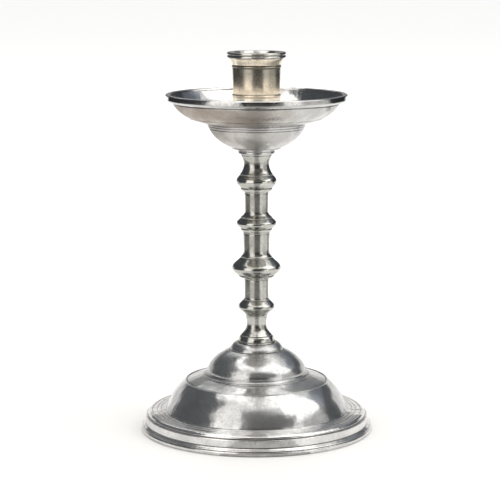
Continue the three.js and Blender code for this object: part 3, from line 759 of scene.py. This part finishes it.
bowl = [(0, rod_end)]
line(bowl, ROD_BORE, rod_end)
line(bowl, ROD_BORE, bowl_bottom)
line(bowl, BOWL_RING_RADIUS, bowl_bottom)
grooved_line(bowl, BOWL_RING_RADIUS, bowl_ring_top, BOWL_RING_GROOVES, GROOVE_DEPTH, GROOVE_WIDTH)
line(bowl, BOWL_FOOT_RADIUS, bowl_ring_top)
line(bowl, BOWL_FOOT_RADIUS, bowl_ring_top + BOWL_FOOT_HEIGHT)
bend(bowl, (BOWL_BELLY_RADIUS, bowl_bottom + BOWL_BELLY_RISE),
     BOWL_RADIUS - BOWL_LINE_INSETS[0], bowl_lines[0])
for inset, line_height in zip(BOWL_LINE_INSETS, bowl_lines):
    line(bowl, BOWL_RADIUS - inset, line_height)
    cut_line(bowl, BOWL_LINE_DEPTH, BOWL_LINE_RISE, BOWL_LINE_STEP)
line(bowl, BOWL_RADIUS, bowl_top)
line(bowl, BOWL_RADIUS - BOWL_WALL, bowl_top)
line(bowl, BOWL_RADIUS - BOWL_WALL, band_bottom)
line(bowl, BOWL_FLOOR_RADIUS, bowl_floor)
line(bowl, 0, bowl_floor)
fitted(turned("pan_bowl_turned", bowl, bowl_painted_light_pewter), "pan_bowl", "stick")

# Drip pan: a wide saucer with a rounded lip and a stepped underside.
# Cast pewter, turned thin, soldered on the bowl, with a sleeve for the socket's spigot.

SLEEVE_BORE = 8.3
SLEEVE_WALL = 2.0
PAN_SEAT_INSET = 0.2
SLOPE_RADIUS = 36.6
SLOPE_RISE = 2.8
PAN_STEP_WIDTH = 0.5
PAN_STEP_RISE = 0.55
PAN_BELLY_RADIUS = 42.6
PAN_BELLY_RISE = 2.4
COVE_RADIUS = 46.3
COVE_RISE = 8.3
COVE_LINE_DEPTH = 0.1
COVE_LINE_RISE = 0.3
COVE_LINE_STEP = 0.3
COVE_LINE_WIDTH = 0.6
PAN_RADIUS = 49.9
LIP_COVE_RISE = 1.9
LIP_COVE_FULLNESS = 0.4
LIP_WIDTH = 2.8
LIP_SIDE = 0.7
DISH_INSET = 1.7
DISH_FALL = 0.3
DISH_FLOOR_INSET = 2.0
PAN_FLOOR = 3.6
PAN_BROWN_AND_SHADE_AMOUNT = 0.7
pan_bottom, pan_top = seats("drip_pan")
pan_floor = bowl_top + PAN_FLOOR
slope_height = bowl_top + SLOPE_RISE
step_height = slope_height + PAN_STEP_RISE
belly_height = step_height + PAN_BELLY_RISE
cove_height = step_height + COVE_RISE
lip_edge = pan_top - LIP_WIDTH / 2
pan_pewter = pewter("pan_pewter", tone=(0.64, 0.635, 0.625), shade=(0.43, 0.42, 0.41), roughness=0.11,
                    underside=(COVE_RADIUS, PAN_BROWN_AND_SHADE_AMOUNT))

pan = [(SLEEVE_BORE, pan_bottom)]
line(pan, SLEEVE_BORE + SLEEVE_WALL, pan_bottom)
line(pan, SLEEVE_BORE + SLEEVE_WALL, bowl_top)
line(pan, BOWL_RADIUS - PAN_SEAT_INSET, bowl_top)
line(pan, SLOPE_RADIUS, slope_height)
line(pan, SLOPE_RADIUS + PAN_STEP_WIDTH, step_height)
bend(pan, (PAN_BELLY_RADIUS, belly_height), COVE_RADIUS - COVE_LINE_STEP, cove_height - COVE_LINE_WIDTH)
cut_line(pan, COVE_LINE_DEPTH, COVE_LINE_RISE, COVE_LINE_STEP, COVE_LINE_WIDTH)
turn_up(pan, PAN_RADIUS, cove_height + LIP_COVE_RISE, LIP_COVE_FULLNESS)
line(pan, PAN_RADIUS, lip_edge + LIP_SIDE)
round_over(pan, PAN_RADIUS - LIP_WIDTH / 2, pan_top)
turn_up(pan, PAN_RADIUS - LIP_WIDTH, lip_edge)
bend(pan, (PAN_BELLY_RADIUS - DISH_INSET, belly_height - DISH_FALL),
     SLOPE_RADIUS - DISH_FLOOR_INSET, pan_floor)
line(pan, SLEEVE_BORE, pan_floor)
line(pan, *pan[0])
fitted(turned("drip_pan_turned", pan, pan_pewter), "drip_pan", "stick")

# Candle socket: the nozzle that holds the candle, with a flared rim of two beads.
# Warmer pewter, turned and bored; it lifts out of the pan by hand.

SPIGOT_RADIUS = 8.0
SOCKET_FOOT_RADIUS = 18.8
SOCKET_FOOT_EDGE = 1.0
SOCKET_RADIUS = 13.2
SOCKET_BEAD_RISE = 11.3
SOCKET_BEAD_RADIUS = 13.45
SOCKET_BEAD_EDGE = 0.25
SOCKET_BEAD_TOP = 0.8
BARREL_RISE = 1.1
BARREL_INSET = 0.2
BARREL_WAIST_RISE = 6.9
BARREL_TOP_FALL = 1.2
SOCKET_COLLAR_RADIUS = 13.6
SOCKET_COLLAR_FALL = 1.0
FLARE_LINE_FALL = 0.4
FLARE_LINE_INSET = 0.2
FLARE_LINE_DEPTH = 0.5
FLARE_LINE_RISE = 0.3
FLARE_LINE_STEP = 0.4
FLARE_LINE_WIDTH = 0.7
FLARE_HEIGHT = 3.7
FLARE_PULL = (1.2, 2.2)
RIM_PULL = (0.4, 0.3)
RIM_RADIUS = 16.15
RIM_NECK = 15.5
RIM_BEAD_HEIGHT = 1.65
BORE_RADIUS = 11.25
BORE_DEPTH = 27.0
MOUTH_BEVEL = 1.2
# Painted light and shade on the barrel: its own light tone below the waist, where light from the pan
# falls, and a painted darker tone above it.
PAINTED_SHADE_BELOW_WAIST = 3.5
PAINTED_SHADE_ABOVE_WAIST = 4.0
PAINTED_SHADE_TONE = (0.34, 0.315, 0.265)
socket_bottom, socket_top = seats("candle_socket")
rim_bottom = socket_top - 2 * RIM_BEAD_HEIGHT
flare_bottom = rim_bottom - FLARE_HEIGHT
socket_bead = pan_floor + SOCKET_BEAD_RISE
barrel_bottom = socket_bead + BARREL_RISE
barrel_waist = barrel_bottom + BARREL_WAIST_RISE
painted_shade_band = (barrel_waist - PAINTED_SHADE_BELOW_WAIST, barrel_waist + PAINTED_SHADE_ABOVE_WAIST, PAINTED_SHADE_TONE)
socket_pewter = pewter("socket_pewter", tone=(0.80, 0.69, 0.54), shade=(0.60, 0.52, 0.40), roughness=0.2,
                       haze=0.12, painted_shade_band=painted_shade_band)
# Painted light: a lighter copy of the socket's pewter, standing in for the bright pan and table that the
# flare mirrors.
flare_painted_light_pewter = pewter("flare_painted_light_pewter", tone=(0.98, 0.89, 0.74), shade=(0.84, 0.75, 0.61), roughness=0.2,
                      haze=0.15)
rim_pewter = pewter("rim_pewter", tone=(0.58, 0.57, 0.54), shade=(0.40, 0.39, 0.36), roughness=0.1)

nozzle = [(0, socket_bottom)]
line(nozzle, SPIGOT_RADIUS, socket_bottom)
line(nozzle, SPIGOT_RADIUS, pan_floor)
line(nozzle, SOCKET_FOOT_RADIUS, pan_floor)
line(nozzle, SOCKET_FOOT_RADIUS, pan_floor + SOCKET_FOOT_EDGE)
turn_up(nozzle, SOCKET_RADIUS, socket_bead)
line(nozzle, SOCKET_BEAD_RADIUS, socket_bead + SOCKET_BEAD_EDGE)
line(nozzle, SOCKET_BEAD_RADIUS, socket_bead + SOCKET_BEAD_TOP)
line(nozzle, SOCKET_RADIUS - BARREL_INSET, barrel_bottom)
bend(nozzle, (SOCKET_RADIUS, barrel_waist), SOCKET_RADIUS, flare_bottom - BARREL_TOP_FALL)
line(nozzle, SOCKET_COLLAR_RADIUS, flare_bottom - SOCKET_COLLAR_FALL)
line(nozzle, SOCKET_COLLAR_RADIUS - FLARE_LINE_INSET, flare_bottom - FLARE_LINE_FALL)
cut_line(nozzle, FLARE_LINE_DEPTH, FLARE_LINE_RISE, FLARE_LINE_STEP, FLARE_LINE_WIDTH)
curve(nozzle, (SOCKET_RADIUS + FLARE_PULL[0], flare_bottom + FLARE_PULL[1]),
      (RIM_NECK - RIM_PULL[0], rim_bottom - RIM_PULL[1]), RIM_NECK, rim_bottom)
for bead_bottom in (rim_bottom, rim_bottom + RIM_BEAD_HEIGHT):
    turn_up(nozzle, RIM_RADIUS, bead_bottom + RIM_BEAD_HEIGHT / 2)
    round_over(nozzle, RIM_NECK, bead_bottom + RIM_BEAD_HEIGHT)
line(nozzle, BORE_RADIUS + MOUTH_BEVEL, socket_top)
line(nozzle, BORE_RADIUS, socket_top - MOUTH_BEVEL)
line(nozzle, BORE_RADIUS, socket_top - BORE_DEPTH)
line(nozzle, 0, socket_top - BORE_DEPTH)
nozzle_piece = turned("candle_socket_turned", nozzle, socket_pewter)
# The spreading foot and the flare are painted lighter than the barrel, painted light for the bright pan
# and table that they mirror, and the rim's beads are greyer.
FLARE_FINISH = 1
RIM_FINISH = 2
nozzle_piece.data.materials.append(flare_painted_light_pewter)
nozzle_piece.data.materials.append(rim_pewter)
for face in nozzle_piece.data.polygons:
    height = face.center.z / MM
    outside = math.hypot(face.center.x, face.center.y) / MM > BORE_RADIUS + MOUTH_BEVEL
    if height > rim_bottom:
        face.material_index = RIM_FINISH
    elif outside and not socket_bead < height < flare_bottom:
        face.material_index = FLARE_FINISH
fitted(nozzle_piece, "candle_socket", "socket")

# Tie rod, washer and nut: they draw the stem and base together from inside.
# Plain steel, the rod threaded into the bowl, the nut tightened from under the base.

STEEL_DARK = (0.22, 0.21, 0.20)
STEEL_LIGHT = (0.46, 0.47, 0.48)
STEEL_STAINS = (300, 2.0, 0.5)
STEEL_ROUGHNESS = 0.42
steel = Finish("rod_steel")
steel.shader.inputs["Metallic"].default_value = 1.0
steel.shader.inputs["Roughness"].default_value = STEEL_ROUGHNESS
steel_colour = steel.tinted(steel.noise(steel.place, *STEEL_STAINS), STEEL_DARK, STEEL_LIGHT)
steel.give(steel.shader.inputs["Base Color"], steel_colour)
for node in ("tie_rod", "tie_rod_washer", "tie_rod_nut"):
    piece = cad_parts[node]
    piece.data.materials.clear()
    piece.data.materials.append(steel.material)

# Floor and studio: a white table, white walls of light, and dark boards that the metal mirrors.
# Nothing here belongs to the candlestick.

ROOM_CENTRE = 0.1
ROOM_RADIUS = 2.4
CEILING_RADIUS = 2.5
CAMERA_SIDE_RADIUS = 2.2
SWEEP_RADIUS = 0.36
SCREEN_STEPS = 16
# A screen that glows more than this also lights matt things; the others are only mirrored.
LIGHTING_GLOW = 1


def round_about(turn, up):
    """The way to a place on a screen: degrees round from the camera's side, and degrees above level."""
    turn, up = math.radians(turn), math.radians(up)
    return math.sin(turn) * math.cos(up), -math.cos(turn) * math.cos(up), math.sin(up)


def over_the_top(side, up):
    """The same for a strip that runs up from the camera and over: degrees sideways, and degrees up."""
    side, up = math.radians(side), math.radians(up)
    return math.sin(side), -math.cos(side) * math.cos(up), math.cos(side) * math.sin(up)


def only_mirrored(piece):
    """The camera doesn't see the piece, and it throws no shadow."""
    piece.visible_camera = False
    piece.visible_shadow = False


def screen(name, across, upward, colour, glow, distance=ROOM_RADIUS, way=round_about):
    """A curved glowing screen round the candlestick; across and upward are its ends in degrees."""
    corners, faces = [], []
    for up_step in range(SCREEN_STEPS + 1):
        up = upward[0] + (upward[1] - upward[0]) * up_step / SCREEN_STEPS
        for side_step in range(SCREEN_STEPS + 1):
            side = across[0] + (across[1] - across[0]) * side_step / SCREEN_STEPS
            x, y, z = way(side, up)
            corners.append((x * distance, y * distance, z * distance + ROOM_CENTRE))
    row = SCREEN_STEPS + 1
    for up_step in range(SCREEN_STEPS):
        for side_step in range(SCREEN_STEPS):
            first = up_step * row + side_step
            faces.append((first, first + 1, first + row + 1, first + row))
    paint = bpy.data.materials.new(name)
    paint.use_nodes = True
    shader = paint.node_tree.nodes["Principled BSDF"]
    shader.inputs["Base Color"].default_value = (0, 0, 0, 1)
    shader.inputs["Specular IOR Level"].default_value = 0.0
    shader.inputs["Emission Color"].default_value = (*colour, 1)
    shader.inputs["Emission Strength"].default_value = glow
    piece = placed(name, corners, faces, paint)
    only_mirrored(piece)
    piece.visible_diffuse = glow > LIGHTING_GLOW


WHITE = (1.0, 0.99, 0.97)
PINK_WHITE = (1.0, 0.97, 0.94)
COOL_DARK = (0.84, 0.94, 1.12)
BLUE_DARK = (0.88, 0.96, 1.08)
WARM_GREY = (1.0, 0.99, 0.95)
screen("ceiling", (-180, 180), (58, 89), WHITE, 2.2, CEILING_RADIUS)
screen("back_low", (166, 194), (-1, 42), WHITE, 0.33)
screen("back_high", (166, 194), (42, 58), WHITE, 2.4)
screen("left_dark", (-150, -67), (30, 58), BLUE_DARK, 0.1)
screen("left_dark_level", (-150, -59), (-1, 30), BLUE_DARK, 0.1)
screen("left_dark_low", (-150, -66), (-7, -1), BLUE_DARK, 0.03)
screen("left_dark_back", (-166, -150), (-1, 27), BLUE_DARK, 0.1)
screen("left_window", (-66, -19), (30, 70), PINK_WHITE, 1.5)
screen("left_window_level", (-58, -19), (12, 30), PINK_WHITE, 1.7)
screen("left_window_low", (-58, -25), (-7, 12), PINK_WHITE, 1.7)
screen("right_window", (48, 106), (27, 70), WHITE, 2.3)
screen("right_near", (34, 60), (-7, 27), WHITE, 1.5)
screen("right_far", (60, 102), (-7, 27), WHITE, 0.7)
screen("right_dark", (102, 150), (-1, 27), COOL_DARK, 0.06)
screen("right_dark_low", (102, 150), (-7, -1), COOL_DARK, 0.03)
screen("right_dark_edge", (106, 120), (27, 44), COOL_DARK, 0.4)
screen("right_dark_high", (120, 166), (27, 44), COOL_DARK, 0.22)
screen("right_dark_back", (150, 166), (-1, 27), COOL_DARK, 0.1)
screen("camera_dark", (-19, 33), (-7, 20), WHITE, 0.04, CAMERA_SIDE_RADIUS, over_the_top)
screen("camera_grey", (-17, 46), (20, 54), WHITE, 0.16, CAMERA_SIDE_RADIUS, over_the_top)
screen("camera_strip", (-4, 8), (54, 100), WHITE, 0.95, CAMERA_SIDE_RADIUS, over_the_top)
screen("table_front", (-20, 33), (-45, -7), WARM_GREY, 0.27)
screen("table_left_far", (-145, -66), (-45, -7), WARM_GREY, 0.3)
screen("table_left_near", (-66, -20), (-45, -7), PINK_WHITE, 0.75)
screen("table_right_near", (33, 112), (-45, -7), WHITE, 1.0)
screen("table_right_far", (112, 150), (-45, -7), WARM_GREY, 0.3)
screen("table_back", (150, 215), (-45, -1), WHITE, 1.6)
screen("sweep_left", (-176, -128), (-15, 2), WHITE, 1.0, SWEEP_RADIUS)
screen("sweep_right", (128, 176), (-15, 2), WHITE, 1.0, SWEEP_RADIUS)

PAINT_BLUE_SHARE = 0.99
PAINT_ROUGHNESS = 0.9


def flat_piece(name, corners, tone):
    """A flat piece of the studio in plain matt paint."""
    paint = bpy.data.materials.new(name + "_paint")
    paint.use_nodes = True
    shader = paint.node_tree.nodes["Principled BSDF"]
    shader.inputs["Base Color"].default_value = (tone, tone, tone * PAINT_BLUE_SHARE, 1)
    shader.inputs["Roughness"].default_value = PAINT_ROUGHNESS
    piece = placed(name, corners, [tuple(range(len(corners)))], paint)
    return piece


def arc(start, end, steps, radius, height):
    """Points on an arc round the candlestick, from one turn to another in degrees."""
    points = []
    for step in range(steps + 1):
        turn = math.radians(start + (end - start) * step / steps)
        points.append((math.sin(turn) * radius, -math.cos(turn) * radius, height))
    return points


# The metal doesn't mirror the floor: it mirrors a small round table top in the floor's place.
# A greyer patch of floor lies round the foot, where the foot's soft shadow shows.
FLOOR_REACH = 40.0
FLOOR_TONE = 0.95
PATCH_RADIUS = 0.2
PATCH_STEPS = 64
PATCH_LIFT = 0.00001
PATCH_TONE = 0.74
TABLE_RADIUS = 0.32
TABLE_STEPS = 16
TABLE_LIFT = 0.00002
# The table's tones are painted light and shade: darker in front of the candlestick, where the table lies
# in shade, lighter at the sides.
TABLE_SECTORS = (
    # first and last turn from the camera's side in degrees, and how light that part of the table is
    (-18, 27, 0.38),
    (27, 43, 0.85),
    (43, 100, 0.78),
    (100, 290, 0.75),
    (290, 342, 0.72),
)
floor_corners = [(-FLOOR_REACH, -FLOOR_REACH, 0), (FLOOR_REACH, -FLOOR_REACH, 0),
                 (FLOOR_REACH, FLOOR_REACH, 0), (-FLOOR_REACH, FLOOR_REACH, 0)]
floor = flat_piece("floor", floor_corners, FLOOR_TONE)
floor.visible_glossy = False
patch_corners = arc(0, 360, PATCH_STEPS, PATCH_RADIUS, PATCH_LIFT)[:-1]
floor_patch = flat_piece("floor_patch", patch_corners, PATCH_TONE)
floor_patch.visible_glossy = False
floor_patch.visible_shadow = False
for start, end, tone in TABLE_SECTORS:
    sector_corners = [(0, 0, TABLE_LIFT)] + arc(start, end, TABLE_STEPS, TABLE_RADIUS, TABLE_LIFT)
    sector = flat_piece("table", sector_corners, tone)
    only_mirrored(sector)
    sector.visible_diffuse = False

scene = bpy.context.scene
scene.world = bpy.data.worlds.new("studio")
scene.world.use_nodes = True
background = scene.world.node_tree.nodes["Background"]
background.inputs["Color"].default_value = (1, 1, 1, 1)
background.inputs["Strength"].default_value = 1.0

# Camera: a long lens about a metre away, as for a catalogue picture on a table.
# It stands a little above the pan and looks slightly down, level from side to side.

CAMERA_DISTANCE = 1.05
CAMERA_HEIGHT = 0.27375
CAMERA_PITCH = math.radians(9.35)
LENS = 138.2
SENSOR_WIDTH = 36.0
PICTURE_SHIFT = -0.013
camera_data = bpy.data.cameras.new("camera")
camera_data.lens = LENS
camera_data.sensor_width = SENSOR_WIDTH
camera_data.shift_x = PICTURE_SHIFT
camera = bpy.data.objects.new("camera", camera_data)
bpy.context.collection.objects.link(camera)
camera.location = (0, -CAMERA_DISTANCE, CAMERA_HEIGHT)
camera.rotation_euler = (math.pi / 2 - CAMERA_PITCH, 0, 0)
scene.camera = camera
scene.view_settings.view_transform = "Standard"
